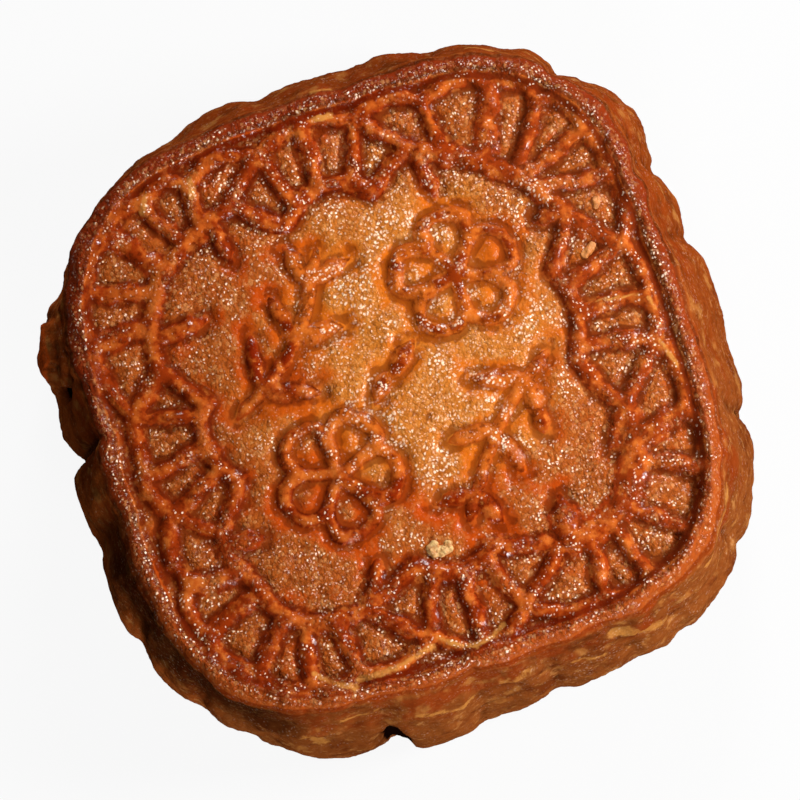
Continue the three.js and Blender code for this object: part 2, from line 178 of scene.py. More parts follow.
# On the unrolled wall, as bearing in degrees and height: half width, rise (a cut is negative)
WALL_MARKS = [
    ([(249.6, 22.0), (250.2, 1.0)], 1.9, -1.45),
    ([(150.6, 24.0), (153.0, 21.5), (156.0, 20.0), (159.0, 18.6)], 3.0, 1.5),
    ([(147.0, 25.6), (150.4, 28.4), (154.4, 29.2), (157.6, 28.0), (160.2, 24.4), (161.6, 18.6)], 0.9, -1.5),
    ([(159.2, 22.4), (160.6, 19.6)], 1.4, -2.4),
    ([(262.0, 25.0), (272.0, 26.4), (284.0, 25.6), (296.0, 26.6), (306.0, 25.4)], 0.7, 0.6),
    ([(228.0, 23.0), (236.0, 24.4), (243.0, 23.4)], 0.9, 0.8),
    ([(284.0, 18.0), (296.0, 19.4), (310.0, 18.4), (322.0, 19.6)], 0.9, 0.6),
    ([(260.0, 18.6), (266.0, 18.0), (274.0, 19.2), (282.0, 18.4)], 0.8, -0.6),
    ([(336.0, 6.0), (337.5, 12.0), (336.6, 18.0)], 0.9, -0.8),
    ([(216.0, 20.0), (222.0, 18.6), (228.0, 19.6)], 0.8, -0.7),
    ([(300.0, 22.0), (308.0, 23.0), (316.0, 22.0)], 0.8, -0.5),
    ([(328.0, 27.5), (334.0, 28.2), (340.0, 27.4)], 0.6, -0.6),
    ([(10.0, 24.0), (20.0, 25.0), (34.0, 23.6)], 0.9, 0.5),
    ([(60.0, 25.4), (74.0, 24.4), (88.0, 25.6)], 0.8, 0.5),
    ([(100.0, 24.6), (112.0, 25.8), (126.0, 24.4)], 0.8, -0.4),
]

# Pale edges and flakes, as places and a half width: on the top, then on the unrolled wall
PALE_EDGES = [
    ([-18.66 - 26.86j, -16.9 - 28.64j, -14.93 - 29.82j], 0.45),
    ([-14.19 - 29.05j, -10.15 - 29.27j, -5.71 - 28.37j], 0.5),
    ([29.0 - 1.0j, 29.3 - 2.4j], 0.28), ([28.5 - 5.6j, 29.4 - 8.9j], 0.32),
    ([-13.3 + 28.4j, -13.6 + 26.4j], 0.5), ([-18.5 + 28.2j, -19.4 + 26.6j], 0.5),
    ([1.4 + 29.8j, 3.4 + 29.5j], 0.5),
    ([-4.9 - 27.6j, -3.3 - 29.2j, -1.2 - 29.9j, 0.6 - 29.7j, 2.1 - 28.8j], 0.4),
    ([23.6 + 0.6j, 28.0 - 0.2j], 0.22),
]
PALE_FLAKES = [
    ([(254, 25.8), (258, 25.2), (260, 23.8), (264, 23.4)], 0.6),
    ([(292, 27.4), (295, 25.4), (298.5, 23.6)], 1.4),
    ([(235.6, 24.0), (237.2, 21.0), (238.2, 18.0)], 0.9), ([(270, 26.6), (276, 27.0)], 0.5),
    ([(54, 29.0), (58, 28.4)], 0.6), ([(82, 31.2), (86, 31.4)], 0.5), ([(283, 23.0), (288, 22.2)], 0.5),
    ([(241, 27.2), (247, 27.6)], 0.5), ([(156.6, 12.0), (157.4, 9.0)], 0.7),
    ([(310, 28.4), (316, 29.2), (323, 29.0)], 0.6),
]


def shade(red, green, blue):
    """A colour from its usual values up to 255, as the light that it stands for"""
    parts = [part / 255 for part in (red, green, blue)]
    parts = [p / 12.92 if p <= 0.04045 else ((p + 0.055) / 1.055) ** 2.4 for p in parts]
    return (*parts, 1.0)


# ---- node trees ----


def pick(sockets, key):
    """A socket in use, by its name or by its place among those in use"""
    used = [socket for socket in sockets if socket.enabled]
    return used[key] if isinstance(key, int) else next(s for s in used if s.name == key)


class Value:
    """What one socket gives, for use in sums, products and powers"""

    def __init__(self, net, socket):
        self.net = net
        self.socket = socket

    def out(self, key):
        return Value(self.net, pick(self.socket.node.outputs, key))

    def __add__(self, other):
        return self.net.math("ADD", self, other)

    def __sub__(self, other):
        return self.net.math("SUBTRACT", self, other)

    def __rsub__(self, other):
        return self.net.math("SUBTRACT", other, self)

    def __mul__(self, other):
        return self.net.math("MULTIPLY", self, other)

    def __truediv__(self, other):
        return self.net.math("DIVIDE", self, other)

    def __rtruediv__(self, other):
        return self.net.math("DIVIDE", other, self)

    def __pow__(self, other):
        return self.net.math("POWER", self, other)

    __radd__ = __add__
    __rmul__ = __mul__


class Net:
    """A tree of nodes: `add` makes any node, and `math` the ones that numbers go through"""

    def __init__(self, tree):
        self.tree = tree

    def add(self, kind, settings=None, sockets=None):
        node = self.tree.nodes.new(kind)
        for name, value in (settings or {}).items():
            if name == "curve":
                bend(node.mapping, value)
            else:
                setattr(node, name, value)
        for name, value in (sockets or {}).items():
            self.join(pick(node.inputs, name), value)
        return Value(self, pick(node.outputs, 0)) if node.outputs else node

    def join(self, socket, value):
        if isinstance(value, Value):
            self.tree.links.new(value.socket, socket)
        else:
            socket.default_value = value

    def math(self, operation, *values):
        return self.add("ShaderNodeMath", {"operation": operation}, dict(enumerate(values)))

    def vector_math(self, operation, *values):
        return self.add("ShaderNodeVectorMath", {"operation": operation}, dict(enumerate(values)))

    def scaled(self, vector, by):
        return self.add("ShaderNodeVectorMath", {"operation": "SCALE"}, {0: vector, "Scale": by})

    def split(self, vector):
        parts = self.add("ShaderNodeSeparateXYZ", None, {0: vector})
        return parts, parts.out("Y"), parts.out("Z")

    def vector(self, x, y, z):
        return self.add("ShaderNodeCombineXYZ", None, {0: x, 1: y, 2: z})

    def ease(self, value, low, high):
        """0 below `low` and 1 above `high`, with a soft step between"""
        settings = {"interpolation_type": "SMOOTHSTEP"}
        return self.add("ShaderNodeMapRange", settings, {0: value, 1: low, 2: high})

    def mix(self, start, end, share):
        return self.add("ShaderNodeMix", {"data_type": "FLOAT"}, {0: share, 1: start, 2: end})

    def paint(self, under, over, share):
        return self.add("ShaderNodeMix", {"data_type": "RGBA"}, {0: share, 1: under, 2: over})

    def noise(self, where, size, seed, detail=2.0, roughness=0.5):
        """Lumps of about a size, from -0.5 to 0.5 round 0"""
        sockets = {"Vector": where, "W": seed, "Scale": 1 / size}
        sockets.update({"Detail": detail, "Roughness": roughness})
        return self.add("ShaderNodeTexNoise", {"noise_dimensions": "4D"}, sockets) - 0.5

    def curve(self, value, points):
        """A rule given by points, each as a place from 0 to 1 and a value from 0 to 1"""
        return self.add("ShaderNodeFloatCurve", {"curve": points}, {"Value": value})


def bend(mapping, points):
    line = mapping.curves[0]
    while len(line.points) < len(points):
        line.points.new(0.5, 0.5)
    for point, place in zip(line.points, points):
        point.location = place
        point.handle_type = "AUTO_CLAMPED"
    mapping.update()


# ---- drawing the ridges ----

# The way between two points of a stroke, how long a free end tapers, and its width at the tip
STEP = 0.25
TAPER = 1.1
TIP_SHARE = 0.45


def bow(start, middle, end):
    """An even bow through three places"""
    control = 2 * middle - (start + end) / 2
    return lambda t: (1 - t) ** 2 * start + 2 * t * (1 - t) * control + t * t * end


def straight(start, end):
    return lambda t: start + t * (end - start)


def cubic(a, b, c, d):
    return lambda t: (1 - t) ** 3 * a + 3 * t * (1 - t) ** 2 * b + 3 * t * t * (1 - t) * c + t**3 * d


def around(centre, radius, bearing):
    return centre + cmath.rect(radius, math.radians(bearing))


def bow_between(start, end, rise):
    """A bow that swells out to the right of the way between two places"""
    way = end - start
    return bow(start, (start + end) / 2 - 1j * way / abs(way) * rise, end)


def stroke(path, width, free=(False, False), swell=0.0):
    """Points along a path: place, half width and height. A free end is narrower and lower, and
    a stroke that swells is widest in its middle."""
    length = sum(abs(path((i + 1) / 16) - path(i / 16)) for i in range(16))
    count = max(2, round(length / STEP))
    points = []
    for index in range(count + 1):
        t = index / count
        to_start = t * length if free[0] else TAPER
        to_end = (1 - t) * length if free[1] else TAPER
        share = TIP_SHARE + (1 - TIP_SHARE) * min(to_start / TAPER, to_end / TAPER, 1)
        fuller = 1 - swell * abs(2 * t - 1) ** 1.5
        points.append((path(t), width / 2 * share * fuller, share))
    return points


def lace_quarter(quarter):
    """One side fan and the corner flower after it, as outlines and as the ridges between them"""
    side, corner = SIDES[quarter], CORNERS[quarter]
    following = SIDES[(quarter + 1) % 4]
    turn, next_turn = 1j**quarter, 1j ** (quarter + 1)
    tips = [tip * turn for tip in side["tips"]]
    knots = [knot * turn for knot in side["knots"]]
    arc = [place * turn for place in side["arc"]]
    crown = side["crown"] * turn
    focus, inner = corner["focus"], corner["inner"]
    joints = [around(focus, corner["outer"], bearing) for bearing, _, _ in corner["spokes"]]
    joints = [tips[1], *joints, following["tips"][0] * next_turn]

    outline = [stroke(bow(tips[0], crown, tips[1]), LACE_WIDTH)]
    for start, end in zip(joints, joints[1:]):
        outline.append(stroke(bow_between(start, end, PETAL_RISE), LACE_WIDTH))
    side_arc = bow(*arc)
    middle = around(focus, inner - corner["arc_inset"], 45 + 90 * quarter)
    corner_arc = bow(knots[1], middle, following["knots"][0] * next_turn)
    outline.append(stroke(straight(knots[0], arc[0]), LACE_WIDTH))
    outline.append(stroke(side_arc, SIDE_ARC_WIDTH))
    outline.append(stroke(straight(arc[2], knots[1]), LACE_WIDTH))
    outline.append(stroke(corner_arc, corner["arc_width"]))

    ridges = []
    for share, tip in zip(SIDE_SPOKES, (tips[0], crown, tips[1])):
        ridges.append(stroke(straight(side_arc(share), tip), LACE_WIDTH))
    for index, knot in enumerate(knots):
        ridges.append(stroke(straight(tips[index], knot), LACE_WIDTH))
        hook = [place * turn for place in side["hooks"][index]]
        ridges.append(stroke(straight(*hook), HOOK_WIDTHS[quarter][index], free=(False, True)))
    for (_, bearing, width), joint in zip(corner["spokes"], joints[1:]):
        ridges.append(stroke(straight(around(focus, inner, bearing), joint), width))
    return outline, ridges


def leaf(base, heading, length):
    way = straight(base, around(base, length, heading))
    return stroke(way, LEAF_WIDTH, free=(True, True), swell=0.5)


def blossom(centre, radius, turn):
    strokes = []
    for petal in range(PETALS):
        bearing = turn + PETAL_TURN * petal
        edge = [around(centre, radius * share, bearing + aside) for share, aside in PETAL_CORNERS]
        strokes.append(stroke(cubic(*edge), PETAL_WIDTH))
        spoke = [around(centre, radius * share, bearing + PETAL_TURN / 2) for share in PETAL_SPOKE]
        strokes.append(stroke(straight(*spoke), PETAL_WIDTH))
    return strokes


def sprig(start, middle, end):
    """A bowed stem with pairs of leaves, which get shorter towards its end"""
    path = bow(start, middle, end)
    strokes = [stroke(path, STEM_WIDTH, free=(True, True))]
    for pair in range(LEAF_PAIRS):
        along = (pair + 0.55) / LEAF_PAIRS
        heading = math.degrees(cmath.phase(path(along + 0.02) - path(along - 0.02)))
        length = LEAF_LENGTH * (1.05 - 0.4 * along)
        for aside in (LEAF_SPREAD, -LEAF_SPREAD):
            strokes.append(leaf(path(along), heading + aside, length))
    return strokes


def unrolled(places):
    """Places on the wall, as bearing and height, laid out flat"""
    return [complex(bearing * ARC_DEGREE, height) for bearing, height in places]


def wall_mark(places, half_width, rise):
    """A broken line on the unrolled wall, thinner towards its ends"""
    knots = unrolled(places)
    points = []
    for start, end in zip(knots, knots[1:]):
        points += stroke(straight(start, end), 2 * half_width)
    count = len(points) - 1
    ends = [0.35 + 0.65 * min(1, 4 * min(i, count - i) / count) for i in range(count + 1)]
    return [(place, girth * share, rise * share) for (place, girth, _), share in zip(points, ends)]


def pale_line(places, half_width):
    return [point for start, end in zip(places, places[1:])
            for point in stroke(straight(start, end), 2 * half_width)]


def drawing(name, strokes):
    """Open lines as a mesh, each point with its half width `girth` and its height `rise`"""
    points, edges = [], []
    for line in strokes:
        first = len(points)
        points += line
        edges += [(index, index + 1) for index in range(first, len(points) - 1)]
    mesh = bpy.data.meshes.new(name)
    mesh.from_pydata([(place.real, place.imag, 0) for place, _, _ in points], edges, [])
    for attribute, column in (("girth", 1), ("rise", 2)):
        layer = mesh.attributes.new(attribute, "FLOAT", "POINT")
        layer.data.foreach_set("value", [point[column] for point in points])
    return linked(name, mesh)


def linked(name, data):
    thing = bpy.data.objects.new(name, data)
    bpy.context.scene.collection.objects.link(thing)
    return thing


def flute_table():
    """How far the fluted outline lies inside the smooth one, at even bearings from 0"""
    dents = []
    for step in range(FLUTE_TABLE):
        bearing = 360 * step / FLUTE_TABLE
        before = [i for i, notch in enumerate(NOTCHES) if notch[0] <= bearing]
        index = before[-1] if before else len(NOTCHES) - 1
        start, depth, bulge = NOTCHES[index]
        end, next_depth, _ = NOTCHES[(index + 1) % len(NOTCHES)]
        share = ((bearing - start) % 360) / ((end - start) % 360)
        hollow = 1 - math.sin(math.pi * share) ** FLUTE_FULLNESS
        common = hollow * (depth + (next_depth - depth) * share) * FLUTE_DEPTH
        dents.append(common - bulge * math.sin(math.pi * share) ** FLUTE_FULLNESS)
    # Each dent is the mean of five, so that no notch is sharp
    beside = dents[-2:] + dents + dents[:2]
    dents = [sum(beside[step:step + 5]) / 5 for step in range(FLUTE_TABLE)]
    mesh = bpy.data.meshes.new("flutes")
    mesh.from_pydata([(0, 0, 0)] * FLUTE_TABLE, [], [])
    layer = mesh.attributes.new("dent", "FLOAT", "POINT")
    layer.data.foreach_set("value", dents)
    return linked("flutes", mesh)


# ---- the crust ----


def level_steps():
    """Each level's share of the way up the wall's face"""
    lengths = [0.0]
    for low, high in zip(LEVELS, LEVELS[1:]):
        climb = high[HEIGHT] - low[HEIGHT]
        lean = high[HALF_WIDTH] - low[HALF_WIDTH]
        lengths.append(lengths[-1] + math.hypot(climb, lean))
    return [length / lengths[-1] for length in lengths]


def level_rule(net, up, column):
    """One column of the levels as a smooth rule of the way up the wall"""
    scale = LEVEL_SCALES[column]
    points = [(step, level[column] / scale) for step, level in zip(level_steps(), LEVELS)]
    return net.curve(up, points) * scale


def attribute(net, name, kind="FLOAT"):
    return net.add("GeometryNodeInputNamedAttribute", {"data_type": kind}, {"Name": name})


def stored(net, geometry, name, value):
    settings = {"data_type": "FLOAT", "domain": "POINT"}
    sockets = {"Geometry": geometry, "Name": name, "Value": value}
    return net.add("GeometryNodeStoreNamedAttribute", settings, sockets)


def blurred(net, value, times, kind="FLOAT"):
    sockets = {"Value": value, "Iterations": times}
    return net.add("GeometryNodeBlurAttribute", {"data_type": kind}, sockets)


def sampled(net, geometry, name, index):
    settings = {"data_type": "FLOAT", "domain": "POINT"}
    sockets = {"Geometry": geometry, "Value": attribute(net, name), "Index": index}
    return net.add("GeometryNodeSampleIndex", settings, sockets)


def lines_near(net, lines, where, section):
    """A drawing's height at a place, by the section of its ridges, and the way to its nearest
    line"""
    sockets = {"Sample Position": where}
    near = net.add("GeometryNodeProximity", {"target_element": "EDGES"}, {0: lines, **sockets})
    distance = near.out("Distance")
    index = net.add("GeometryNodeSampleNearest", {"domain": "POINT"}, {"Geometry": lines, **sockets})
    share = distance / sampled(net, lines, "girth", index)
    return net.curve(share / SKIRT, section) * sampled(net, lines, "rise", index), distance


# How far a ridge's foot reaches, in half widths, and the sections of the ridges over that
SKIRT = 2.0
RIDGE_SECTION = [(0, 1), (0.15, 0.96), (0.32, 0.78), (0.5, 0.42), (0.7, 0.13), (1, 0)]
PRESSED_SECTION = [(0, 1), (0.15, 0.95), (0.3, 0.72), (0.45, 0.35), (0.6, 0.1), (0.75, 0)]
CUT_SECTION = [(0, 1), (0.3, 0.9), (0.5, 0.3), (0.7, 0)]
RIM_SECTION = [(0, 1), (0.15, 0.98), (0.35, 0.8), (0.55, 0.4), (0.78, 0.1), (1, 0)]
RIM_INSIDE = 2.2

# How far the ridges stray, how broken the wall's marks are, and the rings that close the base
SWAY = 1.9
RAGGED = 1.2
BASE_RINGS = (0.94, 0.7, 0.35, 0.0)


def interface(tree, inputs):
    for name, kind, value in inputs:
        socket = tree.interface.new_socket(name=name, in_out="INPUT", socket_type=kind)
        if value is not None:
            socket.default_value = value
    tree.interface.new_socket(name="Geometry", in_out="OUTPUT", socket_type="NodeSocketGeometry")


def crust_tree():
    """A closed box of fine cells, bent to the fluted body, raised along the drawings, and
    roughened. What the finish needs to know of the shape is kept in named attributes."""
    tree = bpy.data.node_groups.new("Pressed crust", "GeometryNodeTree")
    length, count, thing = "NodeSocketFloat", "NodeSocketInt", "NodeSocketObject"
    interface(tree, [
        ("Width", length, WIDTH), ("Rim height", length, RIM_HEIGHT),
        ("Floor height", length, FLOOR_HEIGHT), ("Dome height", length, DOME_HEIGHT),
        ("Dome half", length, DOME_HALF), ("Lace height", length, LACE_HEIGHT),
        ("Ornament height", length, ORNAMENT_HEIGHT), ("Puff height", length, PUFF_HEIGHT),
        ("Lump height", length, LUMP_HEIGHT),
        ("Cells across", count, CELLS_ACROSS), ("Wall rows", count, WALL_ROWS),
        ("Seed", length, SEED), ("Flutes", thing, None), ("Lace outline", thing, None),
        ("Lace ridges", thing, None), ("Ornament", thing, None), ("Wall marks", thing, None),
        ("Pale edges", thing, None), ("Pale flakes", thing, None),
        ("Lowest", "NodeSocketVector", None), ("Highest", "NodeSocketVector", None),
        ("Finish", "NodeSocketMaterial", None),
    ])
    net = Net(tree)
    size = net.add("NodeGroupInput").out
    seed = size("Seed")

    def object_lines(name):
        return net.add("GeometryNodeObjectInfo", None, {"Object": size(name)}).out("Geometry")

    # The box's own places: across and along from -1 to 1, and up the wall from 0 to 1
    cells, rows = size("Cells across") + 1, size("Wall rows") + 1
    box = net.add("GeometryNodeMeshCube", None, {
        "Size": (2, 2, 1), "Vertices X": cells, "Vertices Y": cells, "Vertices Z": rows})
    place = net.add("GeometryNodeInputPosition")
    across, along, height = net.split(place)
    under = net.math("LESS_THAN", height, -0.4999)
    shell = net.add("GeometryNodeDeleteGeometry", {"domain": "FACE"}, {
        "Geometry": box, "Selection": under})
    up = height + 0.5
    top = net.math("GREATER_THAN", up, 0.9999)
    reach = net.math("MAXIMUM", net.math("ABSOLUTE", across), net.math("ABSOLUTE", along))
    bearing = net.math("ARCTAN2", along, across)

    # The outline at that level, turned a little as it baked
    half = level_rule(net, up, HALF_WIDTH) * (size("Width") / WIDTH)
    square = level_rule(net, up, SQUARENESS)
    turned = bearing - net.math("RADIANS", level_rule(net, up, TURN))
    cosine = net.math("ABSOLUTE", net.math("COSINE", turned)) ** square
    sine = net.math("ABSOLUTE", net.math("SINE", turned)) ** square
    outline = half / (cosine + sine) ** (1 / square)

    # The flutes, which wander a little on their way up
    cosine, sine = net.math("COSINE", bearing), net.math("SINE", bearing)
    drift = net.noise(net.vector(cosine * 3, sine * 3, up * 2.4), 1.0, seed, 1.0)
    drift = drift * (1 - up * 0.7) * FLUTE_WANDER
    step = (net.math("DEGREES", bearing) + drift) * (FLUTE_TABLE / 360)
    step = net.math("FLOORED_MODULO", step, FLUTE_TABLE)
    before = net.math("FLOOR", step)
    after = net.math("FLOORED_MODULO", before + 1, FLUTE_TABLE)
    flutes = object_lines("Flutes")
    dents = [sampled(net, flutes, "dent", index) for index in (before, after)]
    dent = net.mix(*dents, step - before)

    # Even cells in the middle of the top, cells along the outline near its edge
    even = net.math("SQRT", across * across + along * along)
    share = net.mix(even, reach, net.mix(1.0, reach, top))
    inside = (1 - share) * outline
    fluted = level_rule(net, up, FLUTE_SHARE) * (1 - net.ease(inside, 0.3, 4.5))
    radius = share * outline - dent * fluted
    x, y = radius * cosine, radius * sine

    # The bare top: a flat floor inside the rim with a low dome in its middle
    cube_reach = (net.math("ABSOLUTE", x) ** 3.0 + net.math("ABSOLUTE", y) ** 3.0) ** (1 / 3)
    dome = net.math("MINIMUM", cube_reach / size("Dome half"), 1.0) ** 2.0
    floor = size("Dome height") - (size("Dome height") - size("Floor height")) * dome
    rim = net.curve(inside / RIM_INSIDE, RIM_SECTION) * top
    top_height = floor + (size("Rim height") - floor) * rim
    wall_height = level_rule(net, up, HEIGHT) * (size("Rim height") / RIM_HEIGHT)
    body = net.vector(x, y, net.mix(wall_height, top_height, top))

    shell = stored(net, shell, "top", top)
    crest = net.math("MAXIMUM", rim, net.ease(up, 0.88, 0.99) * (1 - top))
    shell = stored(net, shell, "rim", crest)
    shell = stored(net, shell, "bearing", net.math("DEGREES", bearing))
    shell = net.add("GeometryNodeSetPosition", None, {"Geometry": shell, "Position": body})
    top = attribute(net, "top")

    # The ridges of the top, unsteady in their way, width and height
    x, y, z = net.split(place)
    flat = net.vector(x, y, 0.0)
    sway_x = net.noise(flat, 3.6, seed + 1, 2.0) * SWAY
    sway_y = net.noise(flat, 3.6, seed + 2, 2.0) * SWAY
    spot = net.vector(x + sway_x, y + sway_y, 0.0)
    outer, to_outline = lines_near(net, object_lines("Lace outline"), spot, RIDGE_SECTION)
    spokes, to_spokes = lines_near(net, object_lines("Lace ridges"), spot, RIDGE_SECTION)
    pressed, to_ornament = lines_near(net, object_lines("Ornament"), spot, PRESSED_SECTION)
    uneven = 1 + net.noise(flat, 3.4, seed + 3, 2.0) * 1.4
    lace = net.math("SMOOTH_MAX", outer, spokes, 0.35)
    shell = stored(net, shell, "lace", lace * top)
    shell = stored(net, shell, "pressed", pressed * top)
    nearest = net.math("MINIMUM", net.math("MINIMUM", to_outline, to_spokes), to_ornament)
    puff = net.ease(nearest, 0.9, 2.2) * net.ease(attribute(net, "rim"), 0.6, 0.0)
    shell = stored(net, shell, "puff", puff * top)
    shell = stored(net, shell, "open", net.ease(nearest, 1.0, 4.5) * top)
    pale, _ = lines_near(net, object_lines("Pale edges"), flat, PRESSED_SECTION)
    shell = stored(net, shell, "pale", pale * top)
    relief = net.math("MAXIMUM", attribute(net, "lace") * size("Lace height"),
                      attribute(net, "pressed") * size("Ornament height")) * uneven
    relief = blurred(net, relief + attribute(net, "puff") * size("Puff height"), 3)
    shell = net.add("GeometryNodeSetPosition", None, {
        "Geometry": shell, "Offset": net.vector(0.0, 0.0, relief * top)})

    # Cuts, folds and a lifted flap in the wall, read on the unrolled wall
    bearing = net.math("FLOORED_MODULO", attribute(net, "bearing"), 360.0)
    x, y, z = net.split(place)
    wall = 1 - top
    sheet = net.vector(bearing * ARC_DEGREE, z, 0.0)
    ragged_across = net.noise(place, 1.6, seed + 4) * RAGGED
    ragged_up = net.noise(place, 1.6, seed + 5) * RAGGED
    sheet = net.vector_math("ADD", sheet, net.vector(ragged_across, ragged_up, 0.0))
    marks, _ = lines_near(net, object_lines("Wall marks"), sheet, CUT_SECTION)
    shell = stored(net, shell, "mark", marks * wall)
    pale, _ = lines_near(net, object_lines("Pale flakes"), sheet, PRESSED_SECTION)
    shell = stored(net, shell, "pale", attribute(net, "pale") + pale * wall)
    outward = net.vector_math("NORMALIZE", net.vector(x, y, 0.0))
    shell = net.add("GeometryNodeSetPosition", None, {
        "Geometry": shell, "Offset": net.scaled(outward, attribute(net, "mark"))})

    # Lumps of the dough, small on the top and larger on the wall
    stretched = net.vector(x, y, z * 0.55)
    lumps = net.noise(stretched, 7.0, seed + 6, 1.0) * net.mix(2.0, 0.5, top)
    lumps = lumps + net.noise(stretched, 2.6, seed + 7, 2.0) * net.mix(1.1, 0.7, top)
    lumps = lumps + net.noise(place, 1.0, seed + 8, 2.0) * net.mix(0.35, 0.28, top)
    foot = net.ease(z, 0.0, 2.5)
    normal = net.add("GeometryNodeInputNormal")
    rough = net.scaled(normal, lumps * foot * size("Lump height"))
    shell = net.add("GeometryNodeSetPosition", None, {"Geometry": shell, "Offset": rough})

    # Nothing stands out past the mould's size
    lowest, highest = net.split(size("Lowest")), net.split(size("Highest"))
    held = []
    for part, low, high in zip(net.split(place), lowest, highest):
        part = net.math("SMOOTH_MAX", part, low, BOX_SOFTNESS)
        held.append(net.math("SMOOTH_MIN", part, high, BOX_SOFTNESS))
    x, y, z = held
    body = net.vector(x, y, z * net.ease(z, 0.05, 0.4))
    shell = net.add("GeometryNodeSetPosition", None, {"Geometry": shell, "Position": body})

    # How far each point lies in a hollow, closely and broadly seen
    for name, times in (("crease", 5), ("shelter", 40)):
        around_it = blurred(net, place, times, "FLOAT_VECTOR")
        lift = net.vector_math("SUBTRACT", around_it, place)
        shell = stored(net, shell, name, net.vector_math("DOT_PRODUCT", lift, normal).out("Value"))

    # The flat base, closed ring by ring to its middle
    for share in BASE_RINGS:
        faces = net.add("GeometryNodeInputMeshEdgeNeighbors")
        equal = {"data_type": "INT", "operation": "EQUAL"}
        open_edge = net.add("FunctionNodeCompare", equal, {0: faces, 1: 1})
        inward = net.vector_math("MULTIPLY", place, (share - 1, share - 1, 0))
        shell = net.add("GeometryNodeExtrudeMesh", {"mode": "EDGES"}, {
            "Mesh": shell, "Selection": open_edge, "Offset": inward, "Offset Scale": 1.0})
    shell = net.add("GeometryNodeMergeByDistance", None, {"Geometry": shell, "Distance": 0.0005})

    to_metres = net.vector_math("MULTIPLY", place, (MM, MM, MM))
    shell = net.add("GeometryNodeSetPosition", None, {"Geometry": shell, "Position": to_metres})
    shell = net.add("GeometryNodeSetShadeSmooth", None, {"Geometry": shell})
    shell = net.add("GeometryNodeRealizeInstances", None, {"Geometry": shell})
    shell = net.add("GeometryNodeSetMaterial", None, {"Geometry": shell, "Material": size("Finish")})
    net.add("NodeGroupOutput", None, {"Geometry": shell})
    return tree


def made_by(tree, name, inputs, start=None):
    """The plain mesh that a tree gives, as an object at the origin"""
    start = start or bpy.data.meshes.new(name + " start")
    maker = linked(name + " maker", start)
    modifier = maker.modifiers.new("Shape", "NODES")
    modifier.node_group = tree
    for item in tree.interface.items_tree:
        if item.in_out == "INPUT" and item.name in inputs:
            modifier[item.identifier] = inputs[item.name]
    bpy.context.view_layer.update()
    ready = maker.evaluated_get(bpy.context.evaluated_depsgraph_get())
    mesh = bpy.data.meshes.new_from_object(ready)
    mesh.name = name
    bpy.data.objects.remove(maker)
    return linked(name, mesh)


# ---- finishes ----

# Where the top is most golden
GOLDEN_MIDDLE = (4.5, 4.0, 0.0)

# The colours of the top, from its floors to its ridges and its rim
TAN_FLOOR = shade(172, 85, 29)
GOLDEN_FLOOR = shade(198, 115, 40)
POOLED_EGG = shade(178, 62, 6)
GOLDEN_EGG = shade(204, 98, 14)
FLANK = shade(150, 49, 11)
DARK_FLANK = shade(98, 26, 4)
CREST = shade(189, 90, 29)
DARK_CREST = shade(140, 46, 9)
# Painted shade for the creases at the ridges' feet
CREASE_SHADE = shade(92, 28, 7)
GOLDEN_RIDGE = shade(212, 112, 32)
SCORCH = shade(116, 20, 2)
DARK_FLECK = shade(78, 17, 3)
LIGHT_FLECK = shade(220, 123, 50)
# Painted shade for the hollow groove inside the rim
GROOVE_SHADE = shade(104, 25, 4)
CROWN = shade(108, 40, 17)
DARK_CROWN = shade(60, 17, 7)
SOUTH_CROWN = shade(140, 50, 11)
RIM_EDGE = shade(138, 44, 14)
SOUTH_EDGE = shade(178, 82, 28)

# The colours of the wall, and of its marks
WALL = shade(140, 60, 17)
SOUTH_WALL = shade(137, 71, 28)
# Painted light for the far west wall, which no lamp lights
WEST_WALL_LIGHT = shade(190, 92, 34)
WALL_BLOTCH = shade(98, 40, 12)
LIGHT_MOTTLE = shade(198, 134, 72)
DARK_MOTTLE = shade(92, 38, 14)
DRIPPED_EGG = shade(140, 52, 14)
STREAK = shade(190, 122, 58)
# Painted shade for the wall where it lies in a broad hollow
SHADE_UNDER_BULGES = shade(56, 20, 5)
# Painted shade for the southwest wall under the rim
SOUTHWEST_SHADE = shade(40, 14, 5)
# Painted light for the lifted flap on the shaded west wall
FLAP_LIGHT = shade(204, 84, 26)
PALE_TONE = shade(208, 138, 64)
# Painted shade: near black inside the wall's cuts
CUT_SHADE = shade(20, 7, 4)

# The colours of the grain, and of the crumbs
DARK_BEAD = shade(104, 36, 10)
LIGHT_BEAD = shade(232, 170, 104)
# Painted shade for the small hollows between the beads
SHADE_BETWEEN_BEADS = shade(78, 20, 2)
# Painted shade for the top's west side
WEST_SHADE = shade(84, 30, 8)
# Painted light for the top's east side
EAST_LIGHT = shade(240, 150, 72)
GLINT = shade(255, 226, 196)
CRUMB = shade(214, 172, 108)
BROWN_CRUMB = shade(184, 124, 64)
EAST_CRUMB = shade(196, 112, 42)


def bare_material(name):
    material = bpy.data.materials.new(name)
    material.use_nodes = True
    material.node_tree.nodes.clear()
    return material, Net(material.node_tree)


def in_millimetres(net):
    place = net.add("ShaderNodeTexCoord").out("Object")
    return net.add("ShaderNodeMapping", None, {"Vector": place, "Scale": (1 / MM, 1 / MM, 1 / MM)})


def kept(net, name):
    """What the shape's tree kept under a name"""
    return net.add("ShaderNodeAttribute", {"attribute_name": name}).out("Fac")


